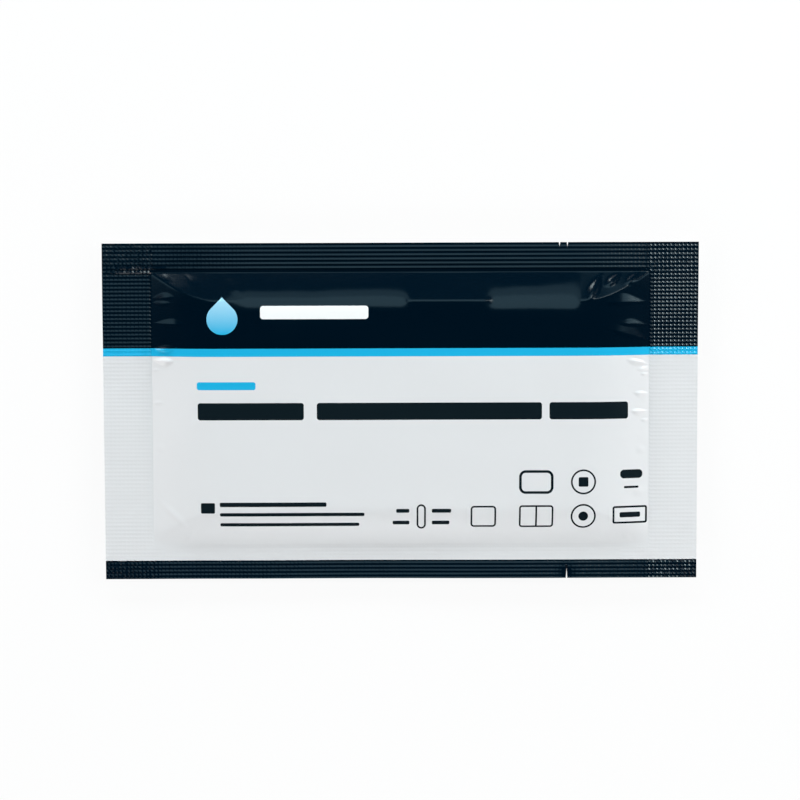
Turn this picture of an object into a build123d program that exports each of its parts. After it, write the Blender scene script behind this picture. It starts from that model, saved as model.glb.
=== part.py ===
"""Sealed foil pouch of a single-use rapid test, lying on its back with the printed front up.

Two sheets of foil laminate are welded together round all four edges by ribbed heat-seal jaws.
The weld is a flat ribbed margin, and the film between the welds is a low pillow over the contents.
The pouch is closed and can't be seen into, so it is one solid.

Frame, in millimetres: X runs along the long side and Y up the printed front. Z is up.
The origin is under the centre of the outline, on the surface that the pouch lies on.
"""

import os
from math import pi, sin

from build123d import *

# Outline and welded margins
pouch_width = 135.0
pouch_height = 76.6
side_seal = 11.0
top_seal = 6.6
bottom_seal = 7.9

# Laminate and the ribs that the sealing jaws press into the weld
film_thickness = 0.12
crimp_pitch = 0.89
crimp_depth = 0.2
weld_bead = 0.05

# Pillow: total thickness over the contents, height of the weld and width of the sloping shoulders
pack_thickness = 5.4
seal_level = 2.3
side_shoulder = 15.0
end_shoulder = 9.0
panel_corner = 1.2
crown_corner = 11.0
shoulder_steps = 4

# Tear nicks at the right: a pair in the top edge and a single one in the bottom edge
nick_width = 0.35
top_nick_x = 36.8
top_nick_spacing = 1.8
top_nick_depth = 1.0
bottom_nick_x = 37.7
bottom_nick_depth = 2.4

# Gathers where the film is pinched at the weld. Each one has its place along that side, from -1 to 1,
# its reach as a share of the shoulder, its height as a share of the fullest one and its lean in degrees.
gather_height = 0.5
gather_spread = 0.26
gather_peak_at = 0.3
gather_root = 0.2
right_gathers = [
    (0.79, 0.50, 1.0, 0),
    (0.63, 0.34, 0.8, -4),
    (0.52, 0.66, 0.9, -16),
    (0.32, 0.38, 0.8, -13),
    (0.11, 0.30, 0.7, -2),
    (-0.02, 0.36, 0.7, 0),
    (-0.31, 0.34, 0.5, -6),
    (-0.60, 0.40, 0.6, 8),
]
left_gathers = [
    (0.81, 0.34, 0.8, 4),
    (0.63, 0.44, 0.8, -2),
    (0.43, 0.36, 0.7, 3),
    (0.34, 0.36, 0.7, -2),
    (0.04, 0.32, 0.5, 5),
    (-0.28, 0.34, 0.5, -4),
    (-0.60, 0.44, 0.6, -30),
]
top_gathers = [
    (0.81, 0.80, 0.9, -28),
    (0.89, 0.56, 0.7, -47),
    (0.95, 0.42, 0.6, -47),
    (0.03, 0.46, 0.5, 0),
    (-0.71, 0.70, 0.6, 38),
    (-0.87, 0.56, 0.6, 45),
]
bottom_gathers = [
    (0.83, 0.60, 0.6, 40),
    (0.21, 0.50, 0.5, -5),
    (-0.36, 0.50, 0.5, 6),
    (-0.88, 0.56, 0.6, -45),
]

# The unsealed panel between the welds
panel_width = pouch_width - 2 * side_seal
panel_height = pouch_height - top_seal - bottom_seal
panel_middle_y = (bottom_seal - top_seal) / 2

# Heights of the weld's faces where they meet the pillow
weld_half = film_thickness + crimp_depth / 2 + weld_bead
weld_top = seal_level + weld_half
weld_bottom = seal_level - weld_half
front_rise = pack_thickness - weld_top

rib_count = round(pouch_height / crimp_pitch)
rib_half_pitch = pouch_height / rib_count / 2


def rib_profile():
    """Section of the weld across its ribs: two plies pressed into one wave."""
    wave = [
        (
            -pouch_height / 2 + i * rib_half_pitch,
            seal_level + (crimp_depth / 2 if i % 2 else -crimp_depth / 2),
        )
        for i in range(2 * rib_count + 1)
    ]
    front = [(y, z + film_thickness) for y, z in wave]
    back = [(y, z - film_thickness) for y, z in reversed(wave)]
    with BuildSketch(Plane.YZ) as profile:
        with BuildLine():
            Polyline(*front, *back, close=True)
        make_face()
    return profile.sketch


def pillow_outline(share, height):
    """Outline of the pillow, seen from above: the weld's inner edge at share 0, the flat crown at 1."""
    with BuildSketch(Plane.XY.offset(height)) as outline:
        with Locations((0, panel_middle_y)):
            RectangleRounded(
                panel_width - 2 * share * side_shoulder,
                panel_height - 2 * share * end_shoulder,
                panel_corner + share * (crown_corner - panel_corner),
            )
    return outline.sketch


def pillow_sections(weld_height, crown_height):
    """Outlines up a shoulder that leaves the weld steeply and runs out level with the crown."""
    shares = [i / shoulder_steps for i in range(shoulder_steps + 1)]
    rise = crown_height - weld_height
    return [pillow_outline(u, weld_height + rise * sin(u * pi / 2)) for u in shares]


def gather_sections(foot, inward, run, reach, fullness, lean):
    """A fold of film that starts at the weld, peaks early and dies out up the shoulder."""
    length = reach * run
    heading = inward.rotate(Axis.Z, lean)
    across = Vector(0, 0, 1).cross(heading)

    def on_film(along, aside, above):
        place = heading * (along * length) + across * (aside * gather_spread * length)
        level = front_rise * sin(place.dot(inward) / run * pi / 2) + above
        return foot + place + Vector(0, 0, level)

    corners = [
        on_film(gather_peak_at, -1, -gather_root),
        on_film(gather_peak_at, 1, -gather_root),
        on_film(gather_peak_at, 0, gather_height * fullness),
    ]
    crosswise = Plane(origin=on_film(gather_peak_at, 0, 0), x_dir=across, z_dir=heading)
    with BuildSketch(crosswise) as section:
        with BuildLine():
            Polyline(*[crosswise.to_local_coords(corner) for corner in corners], close=True)
        make_face()
    start = Vertex(*on_film(0, 0, 0))
    end = Vertex(*on_film(1, 0, -gather_root))
    return [start, section.sketch, end]


def nick_outline(x, edge_y, depth):
    """A narrow V in the pouch's edge. A negative depth runs towards -Y."""
    with BuildSketch(Plane.XY) as outline:
        with BuildLine():
            Polyline(
                (x - nick_width / 2, edge_y),
                (x + nick_width / 2, edge_y),
                (x, edge_y + depth),
                close=True,
            )
        make_face()
    return outline.sketch


# Each side of the weld: the middle of its inner edge, half its length, the way in and the shoulder's width
half_width = panel_width / 2
half_height = panel_height / 2
gathered_sides = [
    (Vector(half_width, 0), Vector(0, half_height), Vector(-1, 0), side_shoulder, right_gathers),
    (Vector(-half_width, 0), Vector(0, half_height), Vector(1, 0), side_shoulder, left_gathers),
    (Vector(0, half_height), Vector(half_width, 0), Vector(0, -1), end_shoulder, top_gathers),
    (Vector(0, -half_height), Vector(half_width, 0), Vector(0, 1), end_shoulder, bottom_gathers),
]
panel_middle = Vector(0, panel_middle_y, weld_top)

with BuildPart() as pouch:
    extrude(pillow_outline(0, weld_bottom), amount=weld_top - weld_bottom)
    loft(sections=pillow_sections(weld_top, pack_thickness))
    loft(sections=pillow_sections(weld_bottom, 0))
    for middle, half_side, inward, run, gathers in gathered_sides:
        for place, reach, fullness, lean in gathers:
            foot = panel_middle + middle + half_side * place
            loft(sections=gather_sections(foot, inward, run, reach, fullness, lean), ruled=True)
    extrude(rib_profile(), amount=pouch_width / 2, both=True)
    for x in (top_nick_x - top_nick_spacing / 2, top_nick_x + top_nick_spacing / 2):
        extrude(nick_outline(x, pouch_height / 2, -top_nick_depth), amount=pack_thickness, mode=Mode.SUBTRACT)
    extrude(
        nick_outline(bottom_nick_x, -pouch_height / 2, bottom_nick_depth),
        amount=pack_thickness,
        mode=Mode.SUBTRACT,
    )

pouch.part.label = "foil_pouch"
os.makedirs("parts", exist_ok=True)
export_step(pouch.part, "parts/foil_pouch.step")
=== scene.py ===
from math import cos, pi, radians, sin, tan

import bpy
import numpy as np
from mathutils import Matrix, Vector


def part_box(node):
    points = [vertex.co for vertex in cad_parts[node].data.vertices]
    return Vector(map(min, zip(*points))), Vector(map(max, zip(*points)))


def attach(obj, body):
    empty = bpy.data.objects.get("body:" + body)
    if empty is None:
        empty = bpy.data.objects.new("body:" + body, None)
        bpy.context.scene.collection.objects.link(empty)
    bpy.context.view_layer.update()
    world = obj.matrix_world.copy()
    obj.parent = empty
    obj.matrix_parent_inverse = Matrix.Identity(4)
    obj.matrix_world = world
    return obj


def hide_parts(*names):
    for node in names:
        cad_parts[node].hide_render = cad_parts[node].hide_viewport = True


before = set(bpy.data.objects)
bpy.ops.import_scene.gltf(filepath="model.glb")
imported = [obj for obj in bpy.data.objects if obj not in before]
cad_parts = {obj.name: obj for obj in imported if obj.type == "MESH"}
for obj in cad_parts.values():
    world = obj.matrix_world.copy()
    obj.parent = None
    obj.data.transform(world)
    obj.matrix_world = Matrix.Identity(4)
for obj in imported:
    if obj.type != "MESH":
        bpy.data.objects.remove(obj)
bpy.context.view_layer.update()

# The pouch lies on its back. Sizes are in millimetres, X along the long side and Y up the printed front.
MM = 0.001
NODE = "foil_pouch"
box_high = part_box(NODE)[1]
half_width = box_high.x / MM
half_height = box_high.y / MM
pack_thickness = box_high.z / MM

# Welded margins, as in the solid, and the narrow land between the weld and the loose film
side_seal = 11.0
top_seal = 6.6
bottom_seal = 7.9
seal_level = 2.3
film_thickness = 0.12
weld_land = 0.3

# Crimp of the sealing jaws: a rib at the start of each cell, then the floor between two steps across it.
# Ribs along the pouch stand at full height. Those across it do so in the corners and where the right-hand
# weld is dark, and elsewhere at a share of it.
crimp_pitch = 0.89
rib_height = 0.09
cross_rib_share = 0.2
front_steps_x = (0.0, 0.33, 0.67)
front_steps_y = (0.0, 0.42, 0.68)
back_steps = (0.0, 0.5)

# How unevenly the jaws pressed, along the sides and in the corners
press_seed = 11
even_press = 0.05
corner_press = 0.15

# The jaws pressed less deep between the printed stripe and the foot, where the ribs are faint, and deeper
# at the foot
middle_press = 0.35
foot_press = 1.2

# Where the jaws bit deepest: centre, reach along X and Y, how abruptly it ends, how much taller the ribs
# along X are there, and the smallest share of that
deep_bite_centre = (-59.0, 32.0)
deep_bite_reach = (6.5, 0.85)
deep_bite_edge = 4
deep_bite = 2.2
uneven_bite = 0.65

# Over this width past its inner edge a seal's crimp gives way to its neighbour's
seal_fade = 2.0

# Tear nicks: place along X, depth, and whether it is in the top edge
nicks = [(35.9, 1.0, True), (37.7, 1.0, True), (37.7, 2.4, False)]
nick_width = 0.35

# A nick draws in the film over this many of its depths, and flattens the ribs this far round it by a share
nick_reach = 1.3
nick_crush = 1.8
nick_flattening = 0.7

# Pillow over the contents
side_shoulder = 15.0
end_shoulder = 9.0
hip_sharpness = 60.0

# The film is slacker along the bottom, where it leaves the weld gently and its hips are soft
slack_share = 0.7
slack_hip_sharpness = 8.0

# Slight unevenness, made of waves. On the loose film it grows from the weld and is full where the film has
# risen by the share given here.
wave_count = 10
front_waves = dict(seed=3, shortest=7, longest=30, steepness=0.02)
back_waves = dict(seed=8, shortest=6, longest=24, steepness=0.03)
weld_waves = dict(seed=5, shortest=22, longest=90, steepness=0.03)
front_waves_full = 0.5
back_waves_full = 0.25

# Printed bands, from the top: where the header and the stripe under it end along Y, and where the foot starts
header_end = 14.55
stripe_end = 12.73
foot_start = -34.06

# Edges of the panel between the welds
panel_left = side_seal - half_width
panel_right = half_width - side_seal
panel_bottom = bottom_seal - half_height
panel_top = half_height - top_seal
panel_middle_y = (panel_top + panel_bottom) / 2
x_edges = (-half_width, panel_left, panel_right, half_width)
y_edges = (-half_height, panel_bottom, panel_top, half_height)
weld_front = seal_level + film_thickness
weld_back = seal_level - film_thickness

# Gathers where the weld pinches the film, one row each: place along that edge, lean towards +Y or +X in
# degrees, length, height, and how far each flank spreads, towards +Y or +X first
right_gathers = [
    (24.7, 0, 10.6, 0.26, 2.1, 0.7),
    (19.5, 4, 7.2, 0.17, 1.3, 0.5),
    (16.0, 16, 10.0, 0.21, 2.6, 0.9),
    (10.7, 13, 5.6, 0.33, 0.5, 1.2),
    (10.2, -15, 3.0, 0.22, 0.34, 0.9),
    (8.5, 0, 2.0, 0.20, 0.3, 0.7),
    (4.1, 2, 3.6, 0.26, 0.4, 1.2),
    (0.0, 1, 4.4, 0.33, 0.5, 1.2),
    (-1.9, -4, 1.8, 0.20, 0.3, 0.7),
    (-9.0, 6, 3.2, 0.16, 0.8, 0.8),
    (-18.0, -8, 4.0, 0.18, 0.9, 0.9),
]
left_gathers = [
    (25.8, 4, 5.4, 0.16, 1.2, 0.6),
    (24.7, 0, 4.6, 0.14, 0.9, 0.5),
    (20.2, -2, 8.0, 0.22, 1.3, 0.6),
    (14.2, 3, 5.6, 0.50, 0.8, 1.0),
    (11.9, -2, 5.2, 0.60, 0.92, 1.4),
    (9.6, 3, 1.8, 0.16, 0.4, 0.4),
    (2.0, 5, 2.6, 0.16, 0.7, 0.7),
    (-8.0, -4, 3.2, 0.16, 0.8, 0.8),
    (-19.0, -42, 11.0, 0.24, 1.0, 0.7),
]
top_gathers = [
    (45.7, -28, 7.8, 0.41, 1.4, 1.2),
    (50.1, -47, 5.2, 0.35, 1.1, 1.0),
    (54.1, -47, 4.4, 0.31, 1.0, 0.9),
    (1.0, 25, 2.4, 0.14, 0.4, 0.4),
    (3.2, -25, 2.4, 0.14, 0.4, 0.4),
    (-40.0, 38, 7.0, 0.12, 1.2, 1.2),
    (-49.0, 45, 4.6, 0.08, 0.9, 0.9),
    (-54.0, 45, 3.0, 0.06, 0.6, 0.6),
]
bottom_gathers = [
    (47.0, -40, 5.5, 0.20, 1.0, 1.0),
    (53.0, -45, 3.5, 0.18, 0.7, 0.7),
    (-50.0, 45, 4.5, 0.18, 0.8, 0.8),
    (12.0, 5, 3.0, 0.12, 0.8, 0.8),
]

# A gather opens slowly at the weld and is widest past the middle of its length, more so the larger this is
late_opening = 1.4

# Stretches of the top shoulder where the film is pulled straight from the weld to a tight knee: the ends of
# each along X and the width over which it begins and ends. Then its steepness and how tight the knee is.
taut_stretches = [(-60.0, -37.5, 6.0), (1.6, 19.8, 0.9), (40.2, 60.0, 0.9)]
taut_steepness = 1.41
knee_tightness = 80.0

# Faint creases across the top shoulder: the film's offset there at places along X, and how far down they run
shoulder_creases = [
    (-56.5, 0.0),
    (-36.0, 0.05),
    (1.6, 0.06),
    (2.6, 0.0),
    (19.8, 0.0),
    (20.8, -0.10),
    (39.8, -0.06),
    (44.0, 0.0),
    (56.5, 0.0),
]
crease_reach = 11.0

# Spacing of the film's points, which is closest where the gathers are: beside the welds and over the top
left_folds_end = panel_left + 10.0
right_folds_start = panel_right - 16.0
top_folds_start = -3.0
fold_spacing = 0.4
open_spacing = 0.8
fold_row_spacing = 0.2
open_row_spacing = 0.6
back_spacing = 1.2
front_x_stretches = [
    (panel_left + weld_land, left_folds_end, fold_spacing),
    (left_folds_end, right_folds_start, open_spacing),
    (right_folds_start, panel_right - weld_land, fold_spacing),
]
front_y_stretches = [
    (panel_bottom + weld_land, top_folds_start, open_row_spacing),
    (top_folds_start, panel_top - weld_land, fold_row_spacing),
]
back_x_stretches = [(panel_left + weld_land, panel_right - weld_land, back_spacing)]
back_y_stretches = [(panel_bottom + weld_land, panel_top - weld_land, back_spacing)]

# A length too small to matter
tiny = 1e-6


def crimp_lines(edges, steps):
    """Lines of the crimp across seal, panel and seal, a whole number of cells to each stretch."""
    lines = []
    for start, end in zip(edges, edges[1:]):
        cells = round((end - start) / crimp_pitch)
        cell = (end - start) / cells
        lines.extend(start + cell * (i + step) for i in range(cells) for step in steps)
    return np.array(lines + [edges[-1]])


def slow_waves(x, y, seed, shortest, longest, steepness):
    """Slight unevenness of the film: waves in all directions, each about as steep as the next."""
    rng = np.random.default_rng(seed)
    total = np.zeros_like(x)
    for length in np.geomspace(shortest, longest, wave_count):
        heading = rng.uniform(0, pi)
        phase = rng.uniform(0, 2 * pi)
        turns = 2 * pi / length
        total += steepness / turns * np.sin(turns * (x * cos(heading) + y * sin(heading)) + phase)
    return total / wave_count ** 0.5


def taut_share(x, y):
    """1 where the top shoulder is taut, 0 elsewhere."""
    total = np.zeros_like(x)
    for start, end, blend in taut_stretches:
        begins = np.clip((x - start) / blend + 0.5, 0, 1)
        ends = np.clip((end - x) / blend + 0.5, 0, 1)
        total += begins * ends
    return total * (y > panel_middle_y)


def taut_rise(share):
    """Rise of the taut film: straight up to a knee, then level."""
    straight = taut_steepness * share
    return straight / (1 + straight ** knee_tightness) ** (1 / knee_tightness)


def pillow(x, y, taut=0):
    """How far the film has risen from the weld, 0, to the crown, 1."""
    from_side = np.clip(np.minimum(x - panel_left, panel_right - x) / side_shoulder, 0, 1)
    from_end = np.clip(np.minimum(y - panel_bottom, panel_top - y) / end_shoulder, 0, 1)
    side_rise = np.sin(from_side * pi / 2)
    full_rise = np.sin(from_end * pi / 2)
    end_rise = full_rise + taut * (taut_rise(from_end) - full_rise)
    slack = slack_share * (y < panel_middle_y)
    end_rise = end_rise + slack * (full_rise ** 2 - end_rise)
    sharpness = np.where(y < panel_middle_y, slack_hip_sharpness, hip_sharpness)
    short = (1 - side_rise) ** sharpness + (1 - end_rise) ** sharpness
    return np.clip(1 - short ** (1 / sharpness), 0, 1)


def gather(x, y, foot, heading, length, height, flanks):
    """A fold that leaves the weld as a point, opens and closes again, with flat flanks."""
    along = (x - foot[0]) * heading[0] + (y - foot[1]) * heading[1]
    aside = (y - foot[1]) * heading[0] - (x - foot[0]) * heading[1]
    opening = np.sin(pi * np.clip(along / length, 0, 1) ** late_opening)
    flank = np.where(aside > 0, flanks[0], flanks[1]) * np.maximum(opening, tiny)
    return height * opening * np.clip(1 - np.abs(aside) / flank, 0, 1)


def gathers(x, y):
    """All gathers round the weld."""
    total = np.zeros_like(x)
    for place, lean, length, height, up, down in right_gathers:
        heading = (-cos(radians(lean)), sin(radians(lean)))
        total += gather(x, y, (panel_right, place), heading, length, height, (down, up))
    for place, lean, length, height, up, down in left_gathers:
        heading = (cos(radians(lean)), sin(radians(lean)))
        total += gather(x, y, (panel_left, place), heading, length, height, (up, down))
    for place, lean, length, height, right, left in top_gathers:
        heading = (sin(radians(lean)), -cos(radians(lean)))
        total += gather(x, y, (place, panel_top), heading, length, height, (right, left))
    for place, lean, length, height, right, left in bottom_gathers:
        heading = (sin(radians(lean)), cos(radians(lean)))
        total += gather(x, y, (place, panel_bottom), heading, length, height, (left, right))
    return total


def weld_wave(x, y):
    """The slight curl of the welded margins, which dies out up the shoulders."""
    return slow_waves(x, y, **weld_waves)


def front_film(x, y):
    """Height of the printed film over the panel."""
    rise = pillow(x, y, taut_share(x, y))
    from_top = np.clip((panel_top - y) / crease_reach, 0, 1)
    creases = np.interp(x, *zip(*shoulder_creases)) * np.sin(pi * from_top) ** 2 * rise
    uneven = slow_waves(x, y, **front_waves) * np.minimum(rise / front_waves_full, 1)
    pillow_height = weld_front + (pack_thickness - weld_front) * rise + weld_wave(x, y) * (1 - rise)
    return pillow_height + creases + gathers(x, y) + uneven


def back_film(x, y):
    """Height of the plain film underneath, which lies flat where it rests."""
    rise = pillow(x, y)
    uneven = np.abs(slow_waves(x, y, **back_waves)) * (1 - rise) * np.minimum(rise / back_waves_full, 1)
    return (weld_back + weld_wave(x, y)) * (1 - rise) + uneven


# Points, faces and the finish of each face, gathered as the film is laid out
FRONT, BACK, EDGE = range(3)
points = []
faces = []
face_finish = []
face_smooth = []


def lay_points(x, y, z):
    """Adds points and returns their numbers in the same layout."""
    start = len(points)
    points.extend(zip(x.ravel(), y.ravel(), z.ravel()))
    return np.arange(start, start + x.size).reshape(x.shape)


def lay_faces(corners, finish, smooth):
    """Adds faces, given their corners in order, with one finish."""
    faces.extend(tuple(int(c) for c in face) for face in corners)
    face_finish.extend([finish] * len(corners))
    face_smooth.extend([smooth] * len(corners))


def quads(grid):
    """Corners of the faces of a grid of points, anticlockwise from above. Each one starts at its lower right
    corner, so that where it isn't flat it folds from there to its upper left corner."""
    return np.stack([grid[1:, :-1], grid[1:, 1:], grid[:-1, 1:], grid[:-1, :-1]], axis=-1)


def four_sides(grid):
    """The border of a grid of points as four rows, anticlockwise from above."""
    return [grid[:, 0], grid[-1, :], grid[::-1, -1], grid[0, ::-1]]


def progress(row):
    """How far along a row each of its points lies, from 0 to 1."""
    places = np.array([points[number] for number in row])
    away = np.linalg.norm(places - places[0], axis=1)
    return away / away[-1]


def join_rows(outer, inner):
    """Triangles between two rows of points that run the same way, whatever their counts."""
    outer_progress = progress(outer)
    inner_progress = progress(inner)
    corners = []
    i = 0
    j = 0
    last_outer = len(outer) - 1
    last_inner = len(inner) - 1
    while i < last_outer or j < last_inner:
        outer_next = i < last_outer and (j == last_inner or outer_progress[i + 1] <= inner_progress[j + 1])
        if outer_next:
            corners.append((outer[i], outer[i + 1], inner[j]))
            i += 1
        else:
            corners.append((outer[i], inner[j + 1], inner[j]))
            j += 1
    return corners


def flipped(corners):
    """The same faces turned over."""
    return [tuple(reversed(face)) for face in corners]


def cut_nicks(x, y):
    """Draws the edge in at each nick as a narrow V and returns how near each point is to one."""
    nearness = np.zeros_like(x)
    for place, depth, at_top in nicks:
        column = int(np.argmin(np.abs(x[:, 0] - place)))
        edge = half_height if at_top else -half_height
        inward = np.abs(edge - y[column])
        reach = nick_reach * depth
        within = inward < reach
        for side in (-1, 1):
            spacing = abs(x[column + side, 0] - x[column, 0])
            closing = np.clip(1 - inward / depth, 0, 1)
            x[column + side] -= side * closing * (spacing - nick_width / 2)
        drawn_in = depth + inward[within] * (1 - depth / reach)
        y[column, within] = edge - drawn_in if at_top else edge + drawn_in
        halfway = edge - depth / 2 if at_top else edge + depth / 2
        away = np.hypot(x - x[column, 0], y - halfway)
        nearness = np.maximum(nearness, np.exp(-((away / nick_crush) ** 2)))
    return nearness


def seal_shares(x, y):
    """Shares of the left, right, top and bottom seal: 1 inside it, fading to 0 past its inner edge."""
    beyond = [panel_left - x, x - panel_right, y - panel_top, panel_bottom - y]
    return [np.clip(b / seal_fade + 1, 0, 1) for b in beyond]


def crimped_weld(steps_x, steps_y, level, finish):
    """One face of the welded margin. Returns its outer and inner border."""
    x_lines = crimp_lines(x_edges, steps_x)
    y_lines = crimp_lines(y_edges, steps_y)
    x, y = np.meshgrid(x_lines, y_lines, indexing="ij")
    near_nick = cut_nicks(x, y)
    left, right, top, bottom = seal_shares(x, y)
    corner = np.maximum(left, right) * np.maximum(top, bottom)
    middle = (y > foot_start) & (y < stripe_end)
    cross_height = cross_rib_share + (1 - cross_rib_share) * np.maximum(right, corner) * ~middle
    along = (np.arange(len(y_lines)) % len(steps_y) == 0)[None, :]
    across = (np.arange(len(x_lines)) % len(steps_x) == 0)[:, None]
    rng = np.random.default_rng(press_seed)
    press = 1 + rng.uniform(-1, 1, x.shape) * (even_press + (corner_press - even_press) * corner)
    band_press = np.where(middle, middle_press, np.where(y < 0, foot_press, 1))
    press *= band_press * (1 - nick_flattening * near_nick)
    bite_x = (x - deep_bite_centre[0]) / deep_bite_reach[0]
    bite_y = (y - deep_bite_centre[1]) / deep_bite_reach[1]
    bitten = np.exp(-(bite_x ** deep_bite_edge) - bite_y ** deep_bite_edge)
    bite = 1 + deep_bite * bitten * rng.uniform(uneven_bite, 1, x.shape)
    ribs = np.maximum(along * bite, across * cross_height) * press

    first_x, last_x = np.searchsorted(x_lines, (panel_left - tiny, panel_right - tiny))
    first_y, last_y = np.searchsorted(y_lines, (panel_bottom - tiny, panel_top - tiny))
    inside = np.zeros(x.shape, bool)
    inside[first_x:last_x + 1, first_y:last_y + 1] = True
    z = level + rib_height * ribs * ~inside + weld_wave(x, y)

    used = np.ones(x.shape, bool)
    used[first_x + 1:last_x, first_y + 1:last_y] = False
    grid = np.full(x.shape, -1)
    grid[used] = lay_points(x[used], y[used], z[used])
    keep = np.ones((len(x_lines) - 1, len(y_lines) - 1), bool)
    keep[first_x:last_x, first_y:last_y] = False
    corners = quads(grid)[keep]
    lay_faces(corners if finish == FRONT else corners[:, ::-1], finish, False)
    return four_sides(grid), four_sides(grid[first_x:last_x + 1, first_y:last_y + 1])


def film_lines(stretches):
    """Places along one axis, evenly spaced in each stretch."""
    lines = [stretches[0][0]]
    for start, end, spacing in stretches:
        lines.extend(np.linspace(start, end, round((end - start) / spacing) + 1)[1:])
    return np.array(lines)


def panel_film(x_stretches, y_stretches, film, finish):
    """One face of the film between the welds. Returns its border."""
    x, y = np.meshgrid(film_lines(x_stretches), film_lines(y_stretches), indexing="ij")
    grid = lay_points(x, y, film(x, y))
    corners = quads(grid).reshape(-1, 4)
    lay_faces(corners if finish == FRONT else corners[:, ::-1], finish, True)
    return four_sides(grid)


def foil_pouch():
    """The whole pouch as one closed skin: front, back and the cut edge round them."""
    front_outer, front_inner = crimped_weld(front_steps_x, front_steps_y, weld_front, FRONT)
    back_outer, back_inner = crimped_weld(back_steps, back_steps, weld_back - rib_height, BACK)
    front_border = panel_film(front_x_stretches, front_y_stretches, front_film, FRONT)
    back_border = panel_film(back_x_stretches, back_y_stretches, back_film, BACK)
    for weld, film in zip(front_inner, front_border):
        lay_faces(join_rows(weld, film), FRONT, True)
    for weld, film in zip(back_inner, back_border):
        lay_faces(flipped(join_rows(weld, film)), BACK, True)
    for below, above in zip(back_outer, front_outer):
        lay_faces(join_rows(below, above), EDGE, False)

    mesh = bpy.data.meshes.new("printed_foil_pouch")
    mesh.from_pydata([tuple(c * MM for c in p) for p in points], [], faces)
    mesh.polygons.foreach_set("material_index", face_finish)
    mesh.polygons.foreach_set("use_smooth", face_smooth)
    mesh.update()
    piece = bpy.data.objects.new("printed_foil_pouch", mesh)
    bpy.context.scene.collection.objects.link(piece)
    return piece


def linear(hex_colour):
    """An sRGB hex colour as linear RGBA."""
    channels = [int(hex_colour[i:i + 2], 16) / 255 for i in (1, 3, 5)]
    return [c / 12.92 if c <= 0.04045 else ((c + 0.055) / 1.055) ** 2.4 for c in channels] + [1.0]


def add(tree, kind, inputs=None, **settings):
    """Adds a node, sets its properties, and sets or links its inputs, given by name or number.
    A Mix node's share is number 0, its two values are 2 and 3, and its two colours are 6 and 7."""
    node = tree.nodes.new(kind)
    for name, value in settings.items():
        setattr(node, name, value)
    for key, value in (inputs or {}).items():
        if isinstance(value, bpy.types.NodeSocket):
            tree.links.new(value, node.inputs[key])
        else:
            node.inputs[key].default_value = value
    return node


def new_material(name):
    """A material with a Principled shader joined to its output. Returns it, its nodes and the shader."""
    material = bpy.data.materials.new(name)
    material.use_nodes = True
    tree = material.node_tree
    tree.nodes.clear()
    shader = add(tree, "ShaderNodeBsdfPrincipled")
    add(tree, "ShaderNodeOutputMaterial", {"Surface": shader.outputs[0]})
    return material, tree, shader


# Inks
navy = "#00101d"
blue = "#22b4e4"
light_blue = "#a8e0fa"
pale = "#e7e6e8"
white = "#ffffff"
black_ink = "#101c22"

# Gloss film over the inks: its orange peel, its smears of gloss, and its roughness over dark and pale ink
peel_size = 1.5
peel_depth = 0.02
peel_strength = 0.25
smear_size = 6.0
dark_roughness = (0.12, 0.17)
pale_roughness = (0.17, 0.23)
polyester_ior = 1.5

# Foil of the back, with the length, spacing and depth of its rolling lines as drawn
foil_silver = "#c9cccf"
rolled_length = 50.0
rolled_spacing = 0.5
rolled_depth = 0.01
rolled_strength = 0.15
foil_roughness = (0.28, 0.42)

# Cut edge
cut_foil = "#b4b9bd"
cut_film = "#d8dbde"
cut_grain = 0.4
cut_roughness = 0.5

# Printed marks, one row each: centre, size, corner radius, and the width of the line if it is an outline
white_marks = [((-19.4, 22.7), (24.4, 3.0), 0.7, None)]
blue_marks = [((-39.4, 6.1), (13.3, 1.8), 0.5, None)]
black_marks = [
    ((-33.9, 0.3), (24.0, 3.9), 0.6, None),
    ((6.5, 0.3), (50.9, 3.9), 0.6, None),
    ((42.6, 0.3), (17.9, 3.9), 0.6, None),
    ((-43.8, -21.7), (3.2, 2.4), 0.3, None),
    ((-29.0, -20.9), (24.2, 1.0), 0.3, None),
    ((-24.7, -23.2), (32.8, 0.8), 0.3, None),
    ((-25.3, -25.6), (31.6, 0.8), 0.3, None),
    ((4.6, -23.8), (1.7, 5.4), 0.85, 0.4),
    ((0.4, -22.4), (3.0, 0.9), 0.3, None),
    ((0.0, -25.2), (3.8, 0.9), 0.3, None),
    ((9.2, -22.4), (4.4, 0.9), 0.3, None),
    ((9.0, -25.2), (4.0, 0.9), 0.3, None),
    ((18.7, -23.8), (5.4, 4.6), 0.6, 0.4),
    ((30.7, -15.9), (7.2, 4.8), 1.2, 0.6),
    ((41.4, -15.9), (5.3, 5.3), 2.65, 0.4),
    ((41.4, -15.9), (2.2, 2.2), 0.3, None),
    ((52.4, -14.3), (5.2, 2.0), 0.9, None),
    ((52.4, -17.3), (3.4, 0.5), 0.2, None),
    ((30.7, -23.8), (7.4, 4.8), 0.5, 0.4),
    ((30.7, -23.8), (0.4, 4.6), 0.15, None),
    ((41.4, -23.8), (5.3, 5.3), 2.65, 0.4),
    ((41.4, -23.8), (2.2, 2.2), 1.1, None),
    ((52.1, -23.6), (7.6, 3.6), 0.3, 0.45),
    ((52.1, -23.6), (4.8, 1.2), 0.3, None),
]

# A plain drop in the header: a disc, and a square on its corner that gives the tip
drop_centre = (-40.2, 21.2)
drop_radius = 3.5
drop_tip_corner = 0.1


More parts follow.
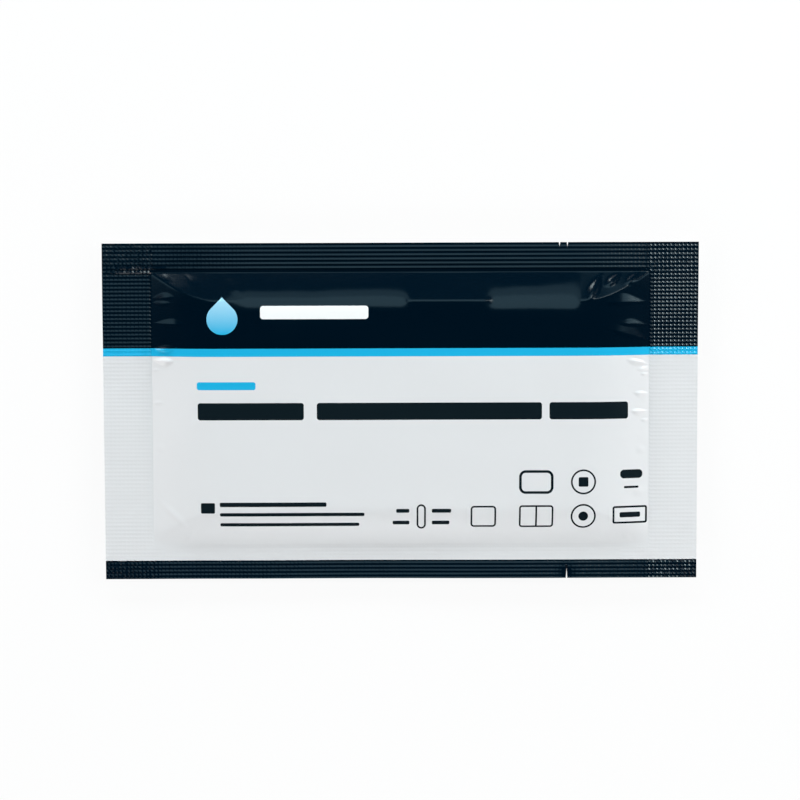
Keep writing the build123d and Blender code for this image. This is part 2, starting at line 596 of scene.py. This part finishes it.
def marked(tree, flat, centre, size, corner, line, turn=0.0):
    """1 inside a printed mark, or on its line, and 0 elsewhere: a box with rounded corners."""
    half = [side / 2 - corner for side in size]
    vector = add(tree, "ShaderNodeVectorMath", {0: flat, 1: (*centre, 0)}, operation="SUBTRACT").outputs[0]
    if turn:
        vector = add(
            tree, "ShaderNodeVectorRotate", {"Vector": vector, "Angle": turn}, rotation_type="Z_AXIS"
        ).outputs[0]
    vector = add(tree, "ShaderNodeVectorMath", {0: vector}, operation="ABSOLUTE").outputs[0]
    vector = add(tree, "ShaderNodeVectorMath", {0: vector, 1: (*half, 0)}, operation="SUBTRACT").outputs[0]
    vector = add(tree, "ShaderNodeVectorMath", {0: vector, 1: (0, 0, 0)}, operation="MAXIMUM").outputs[0]
    outside = add(tree, "ShaderNodeVectorMath", {0: vector}, operation="LENGTH").outputs["Value"]
    target, reach = (0, corner) if line is None else (corner, line / 2)
    return add(tree, "ShaderNodeMath", {0: outside, 1: target, 2: reach}, operation="COMPARE").outputs[0]


def any_of(tree, masks):
    """1 where any of the masks is 1."""
    total = masks[0]
    for mask in masks[1:]:
        total = add(tree, "ShaderNodeMath", {0: total, 1: mask}, operation="MAXIMUM").outputs[0]
    return total


def printed_front():
    """Foil laminate faced with gloss polyester film, gravure printed: flat inks under one clear, smooth shine
    that is only slightly uneven, so lamps show as soft-edged sheens and small hard glints."""
    material, tree, shader = new_material("gravure-printed gloss polyester foil laminate")
    place = add(tree, "ShaderNodeTexCoord").outputs["Object"]
    to_mm = (1 / MM, 1 / MM, 0)
    flat = add(tree, "ShaderNodeVectorMath", {0: place, 1: to_mm}, operation="MULTIPLY").outputs[0]
    height = add(tree, "ShaderNodeSeparateXYZ", {0: flat}).outputs["Y"]

    disc_size = (2 * drop_radius, 2 * drop_radius)
    tip_centre = (drop_centre[0], drop_centre[1] + drop_radius / 2 ** 0.5)
    tip_size = (drop_radius, drop_radius)
    drop = any_of(tree, [
        marked(tree, flat, drop_centre, disc_size, drop_radius, None),
        marked(tree, flat, tip_centre, tip_size, drop_tip_corner, None, turn=pi / 4),
    ])
    fade = add(tree, "ShaderNodeMapRange", {
        "Value": height,
        "From Min": drop_centre[1] - drop_radius,
        "From Max": drop_centre[1] + drop_radius,
    }).outputs[0]
    drop_ink = add(
        tree, "ShaderNodeMix", {0: fade, 6: linear(blue), 7: linear(light_blue)}, data_type="RGBA"
    ).outputs[2]

    above_pale = add(tree, "ShaderNodeMath", {0: height, 1: stripe_end}, operation="GREATER_THAN").outputs[0]
    header = add(tree, "ShaderNodeMath", {0: height, 1: header_end}, operation="GREATER_THAN").outputs[0]
    foot = add(tree, "ShaderNodeMath", {0: height, 1: foot_start}, operation="LESS_THAN").outputs[0]
    layers = [
        (above_pale, linear(blue)),
        (header, linear(navy)),
        (foot, linear(navy)),
        (any_of(tree, [marked(tree, flat, *mark) for mark in white_marks]), linear(white)),
        (any_of(tree, [marked(tree, flat, *mark) for mark in blue_marks]), linear(blue)),
        (any_of(tree, [marked(tree, flat, *mark) for mark in black_marks]), linear(black_ink)),
        (drop, drop_ink),
    ]
    painted = linear(pale)
    for covered, ink in layers:
        painted = add(tree, "ShaderNodeMix", {0: covered, 6: painted, 7: ink}, data_type="RGBA").outputs[2]
    tree.links.new(painted, shader.inputs["Base Color"])

    # The film is a little less glossy over the pale ink than over the dark ones
    peel = add(tree, "ShaderNodeTexNoise", {"Vector": flat, "Scale": 1 / peel_size, "Detail": 2.0}).outputs[0]
    bump = add(
        tree, "ShaderNodeBump", {"Strength": peel_strength, "Distance": peel_depth * MM, "Height": peel}
    ).outputs[0]
    tree.links.new(bump, shader.inputs["Normal"])
    smear = add(
        tree, "ShaderNodeTexNoise", {"Vector": flat, "Scale": 1 / smear_size, "Detail": 3.0}
    ).outputs[0]
    gloss = add(
        tree, "ShaderNodeMapRange", {"Value": smear, "To Min": dark_roughness[0], "To Max": dark_roughness[1]}
    ).outputs[0]
    satin = add(
        tree, "ShaderNodeMapRange", {"Value": smear, "To Min": pale_roughness[0], "To Max": pale_roughness[1]}
    ).outputs[0]
    dark = any_of(tree, [above_pale, foot])
    shine = add(tree, "ShaderNodeMix", {0: dark, 2: satin, 3: gloss}).outputs[0]
    tree.links.new(shine, shader.inputs["Roughness"])
    shader.inputs["IOR"].default_value = polyester_ior
    return material


def plain_back():
    """Rolled aluminium foil under a clear sealing film: a bright satin grey with faint streaks along the web.
    Real rolling lines are finer than a tenth of a millimetre. They are drawn coarser, so that they show."""
    material, tree, shader = new_material("rolled aluminium foil laminate")
    place = add(tree, "ShaderNodeTexCoord").outputs["Object"]
    lines_per_metre = (1 / (rolled_length * MM), 1 / (rolled_spacing * MM), 0)
    streaks = add(tree, "ShaderNodeMapping", {"Vector": place, "Scale": lines_per_metre}).outputs[0]
    lines = add(tree, "ShaderNodeTexNoise", {"Vector": streaks, "Scale": 1.0, "Detail": 3.0}).outputs[0]
    satin = add(
        tree, "ShaderNodeMapRange", {"Value": lines, "To Min": foil_roughness[0], "To Max": foil_roughness[1]}
    ).outputs[0]
    tree.links.new(satin, shader.inputs["Roughness"])
    bump = add(
        tree, "ShaderNodeBump", {"Strength": rolled_strength, "Distance": rolled_depth * MM, "Height": lines}
    ).outputs[0]
    tree.links.new(bump, shader.inputs["Normal"])
    shader.inputs["Base Color"].default_value = linear(foil_silver)
    shader.inputs["Metallic"].default_value = 1.0
    return material


def cut_edge():
    """Knife-cut laminate: pale film and grey foil drawn into each other by the blade, and dull from it."""
    material, tree, shader = new_material("knife-cut foil laminate edge")
    place = add(tree, "ShaderNodeTexCoord").outputs["Object"]
    grain = add(
        tree, "ShaderNodeTexNoise", {"Vector": place, "Scale": 1 / (cut_grain * MM), "Detail": 2.0}
    ).outputs[0]
    tone = add(
        tree, "ShaderNodeMix", {0: grain, 6: linear(cut_foil), 7: linear(cut_film)}, data_type="RGBA"
    ).outputs[2]
    tree.links.new(tone, shader.inputs["Base Color"])
    shader.inputs["Roughness"].default_value = cut_roughness
    return material


pouch = foil_pouch()
for finish in (printed_front(), plain_back(), cut_edge()):
    pouch.data.materials.append(finish)
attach(pouch, "root")
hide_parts(NODE)

# Stage: a white table under a light tent that is open overhead, with lamps shining in over its rim.
# Angles are in degrees from overhead, and lengths in metres.
tent_rim_start = 66.0
tent_rim_end = 72.0
tent_strength = 2.65
seen_white = 1.0
table_white_share = 0.9
table_reach = 3.0
table_paper = "#f6f6f6"
daylight = "#b8ebff"
cool_white = "#ebfdff"
warm_white = "#ffe6da"

# Blender's watts for each square metre of a lamp that is to look as bright as white
white_lamp_watts = 4


def seen_or_mirrored(tree):
    """1 where the camera looks, also by way of a shine or a clear film, and 0 for the light it sheds."""
    path = add(tree, "ShaderNodeLightPath").outputs
    return any_of(tree, [path["Is Camera Ray"], path["Is Glossy Ray"], path["Is Transmission Ray"]])


def white_table():
    """A large white table, which the camera sees as white with a soft shadow."""
    near, far = -table_reach, table_reach
    corners = [(near, near, 0), (far, near, 0), (far, far, 0), (near, far, 0)]
    mesh = bpy.data.meshes.new("table")
    mesh.from_pydata(corners, [], [(0, 1, 2, 3)])
    table = bpy.data.objects.new("table", mesh)
    bpy.context.scene.collection.objects.link(table)
    material = bpy.data.materials.new("matt white table paper")
    material.use_nodes = True
    tree = material.node_tree
    tree.nodes.clear()
    matt = add(tree, "ShaderNodeBsdfDiffuse", {"Color": linear(table_paper)})
    bright = add(tree, "ShaderNodeEmission", {"Color": linear(white), "Strength": seen_white})
    seen = seen_or_mirrored(tree)
    share = add(tree, "ShaderNodeMath", {0: seen, 1: table_white_share}, operation="MULTIPLY").outputs[0]
    mixed = add(tree, "ShaderNodeMixShader", {0: share, 1: matt.outputs[0], 2: bright.outputs[0]})
    add(tree, "ShaderNodeOutputMaterial", {0: mixed.outputs[0]})
    mesh.materials.append(material)


def light_tent():
    """Soft light from all sides up to a rim, and dark overhead where the camera looks in. The camera and the
    film's shine see it as plain white."""
    world = bpy.data.worlds.new("light tent")
    bpy.context.scene.world = world
    world.use_nodes = True
    tree = world.node_tree
    tree.nodes.clear()
    direction = add(tree, "ShaderNodeTexCoord").outputs["Generated"]
    upward = add(tree, "ShaderNodeSeparateXYZ", {0: direction}).outputs["Z"]
    seen = seen_or_mirrored(tree)
    brightness = add(tree, "ShaderNodeMix", {0: seen, 2: tent_strength, 3: seen_white}).outputs[0]
    rim = {
        "Value": upward,
        "From Min": cos(radians(tent_rim_start)),
        "From Max": cos(radians(tent_rim_end)),
        "To Max": brightness,
    }
    strength = add(tree, "ShaderNodeMapRange", rim, interpolation_type="SMOOTHSTEP").outputs[0]
    glow = add(tree, "ShaderNodeBackground", {"Color": linear(white), "Strength": strength})
    add(tree, "ShaderNodeOutputWorld", {0: glow.outputs[0]})


def softbox(name, lean_x, lean_y, half_x, half_y, radiance, colour, distance=0.7, mirrored=True):
    """A lamp that faces the pouch, given by its angles from overhead, half its size as angles, and its tone.
    One that isn't mirrored lights the film without a sheen, which would hide the print in low views."""
    towards = Vector((tan(radians(lean_x)), tan(radians(lean_y)), 1)).normalized()
    across = Vector((0, 1, 0)).cross(towards).normalized()
    lamp = bpy.data.lights.new(name, "AREA")
    lamp.shape = "RECTANGLE"
    lamp.size = 2 * distance * tan(radians(half_x))
    lamp.size_y = 2 * distance * tan(radians(half_y))
    lamp.energy = radiance * white_lamp_watts * lamp.size * lamp.size_y
    lamp.color = linear(colour)[:3]
    stand = bpy.data.objects.new(name, lamp)
    stand.location = towards * distance
    stand.visible_glossy = mirrored
    stand.rotation_euler = Matrix((across, towards.cross(across), towards)).transposed().to_euler()
    bpy.context.scene.collection.objects.link(stand)


white_table()
light_tent()
softbox("right_bank", 68, 12, 10, 20, 3.2, warm_white, distance=0.9)
softbox("left_bank", -68, 12, 10, 20, 3.2, warm_white, distance=1.6)
softbox("front_strip", 0, -74, 52, 5, 3.8, cool_white, mirrored=False)
softbox("rear_strip", 0, 69.5, 50, 6.5, 4.6, cool_white, mirrored=False)
softbox("rear_lamp", -34.7, 68.9, 6, 6.5, 4.6, cool_white)
softbox("overhead_softbox", 0, 21.5, 13, 11.5, 0.82, daylight)
softbox("rear_softbox", 0, 38.5, 12, 6, 0.5, daylight)
softbox("right_softbox", 43, 18, 9, 8, 0.9, daylight)
softbox("left_softbox", -44, 18, 7, 8, 0.6, daylight)
softbox("right_lamp", 48, 28, 3.5, 7, 11.0, cool_white)
softbox("corner_lamp", 20, 27, 4, 4, 2.8, cool_white)


def camera_over_pouch():
    """The camera looks down on the pouch from a little beyond its top edge."""
    distance = 500.0
    tilt = radians(4.75)
    roll = radians(0.19)
    pixels_per_mm = 4.398
    image_side = 800
    looked_at_y = 2.6
    nearest_seen = 10.0
    data = bpy.data.cameras.new("camera")
    data.sensor_width = 36.0
    data.lens = data.sensor_width * pixels_per_mm * distance / image_side
    data.clip_start = nearest_seen * MM
    camera = bpy.data.objects.new("camera", data)
    camera.location = Vector((0, looked_at_y + distance * sin(tilt), seal_level + distance * cos(tilt))) * MM
    camera.rotation_euler = (-tilt, 0, -roll)
    bpy.context.scene.collection.objects.link(camera)
    bpy.context.scene.camera = camera


camera_over_pouch()
bpy.context.scene.view_settings.view_transform = "Standard"
